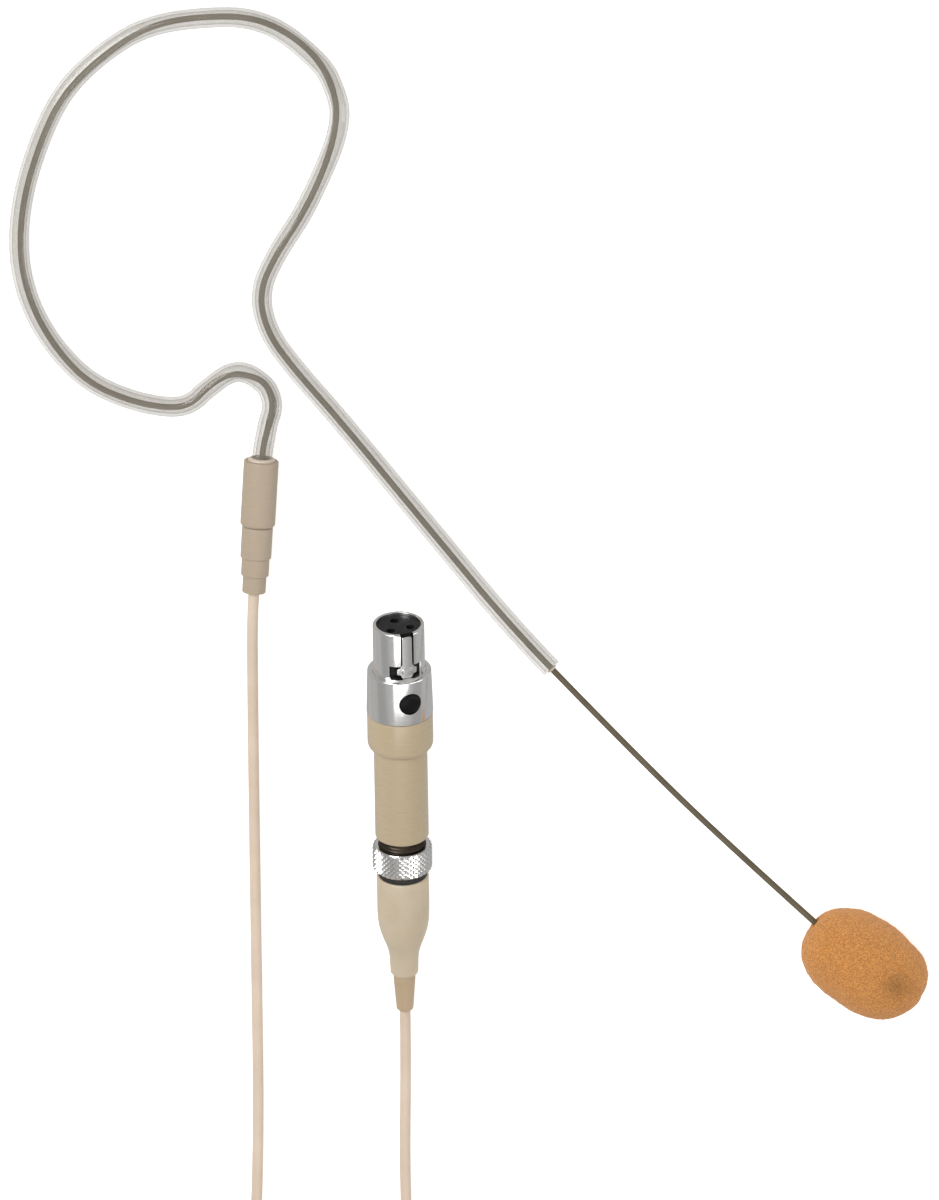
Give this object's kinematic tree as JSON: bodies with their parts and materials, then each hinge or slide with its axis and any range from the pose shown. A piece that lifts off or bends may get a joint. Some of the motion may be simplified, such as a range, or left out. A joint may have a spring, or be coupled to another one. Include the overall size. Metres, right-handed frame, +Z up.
{
  "type": "headset microphone",
  "caption": "Single-ear headset microphone with a clear-sleeved ear hook, thin boom, foam windscreen, plug-in cable and a latching mini connector.",
  "frame": {"origin": "on the table under the middle of the earset, which lies flat", "axes": "+Z up from the table; +Y from the cable end towards the top of the ear hook; +X from the ear hook towards the windscreen"},
  "size_m": [0.1411, 0.2253, 0.0227],
  "materials": {
    "clear_sleeve": "clear, glossy",
    "boom_finish": "satin khaki",
    "foam": "open-cell foam",
    "beige_moulding": "satin",
    "beige_paint": "satin paint",
    "pale_trim": "satin",
    "cable_jacket": "satin",
    "chrome": "polished",
    "black_plastic": "satin",
    "black_rubber": "matt",
    "dark_thread": "blackened",
    "contact_metal": "gold plated",
    "insulator": "matt",
    "capsule_metal": "satin",
    "film": "metallised",
    "board": "satin",
    "steel": "drawn",
    "lead_jacket": "satin"
  },
  "bodies": {
    "earset": {"ear_tube": "clear_sleeve", "ear_wire": "boom_finish", "tube_end_ring": "pale_trim", "boom_rod": "boom_finish", "capsule_lead": "lead_jacket", "capsule_housing": "capsule_metal", "capsule_cap": "capsule_metal", "diaphragm_ring": "contact_metal", "capsule_diaphragm": "film", "diaphragm_spacer": "insulator", "capsule_backplate": "contact_metal", "backplate_holder": "black_plastic", "preamp_board": "board", "preamp_chip": "black_plastic", "boom_bush": "black_rubber", "collar_shell": "beige_moulding", "collar_lip": "pale_trim", "socket_sleeve": "contact_metal", "socket_insulator": "insulator", "socket_contact": "contact_metal"},
    "windscreen": {"foam_windscreen": "foam"},
    "cable": {"collar_plug_boot": "beige_moulding", "plug_sleeve": "contact_metal", "plug_insulator": "insulator", "plug_pin": "contact_metal", "ear_cable": "cable_jacket", "cable_coil": "cable_jacket", "plug_cable": "cable_jacket", "cable_relief": "beige_moulding", "connector_boot": "beige_moulding", "boot_seal": "black_rubber", "connector_ferrule": "dark_thread", "connector_insulator": "insulator", "connector_pin": "contact_metal"},
    "lock_ring": {"lock_ring": "chrome"},
    "adapter": {"adapter_nut": "beige_paint", "adapter_barrel": "beige_paint", "thread_stub": "dark_thread", "socket_carrier": "insulator", "adapter_socket": "contact_metal", "nose_shell": "chrome", "contact_insert": "black_plastic", "insert_contacts": "contact_metal", "latch_pin": "steel"},
    "latch": {"latch": "chrome"},
    "release_button": {"release_button": "black_plastic"}
  },
  "joints": [
    {"name": "windscreen_pull", "type": "slide", "parent": "earset", "child": "windscreen", "axis": [0.7375, -0.674, 0.0422], "range_m": [0, 0.014]},
    {"name": "cable_unplug", "type": "slide", "parent": "earset", "child": "cable", "axis": [-0.0593, -0.9982, 0], "range_m": [0, 0.007]},
    {"name": "lock_ring_turn", "type": "hinge", "parent": "cable", "child": "lock_ring", "pos_m": [-0.01002, -0.05335, 0.00889], "axis": [0.0129, -0.9702, -0.2419], "range_deg": [0, 1440]},
    {"name": "adapter_back_off", "type": "slide", "parent": "cable", "child": "adapter", "axis": [-0.0129, 0.9702, 0.2419], "range_m": [0, 0.003]},
    {"name": "latch_release", "type": "hinge", "parent": "adapter", "child": "latch", "pos_m": [-0.00918, -0.03155, 0.01752], "axis": [-0.9385, -0.0952, 0.3319], "range_deg": [0, 3]},
    {"name": "button_press", "type": "slide", "parent": "adapter", "child": "release_button", "axis": [-0.345, 0.2228, -0.9118], "range_m": [0, 0.0003], "stiffness_N_per_m": 500, "springref_m": -0.0005}
  ],
  "couplings": [
    {"joint": "lock_ring_turn", "follows": "adapter_back_off", "rad_per_m": 8377.6},
    {"joint": "latch_release", "follows": "button_press", "rad_per_m": 174.51}
  ]
}
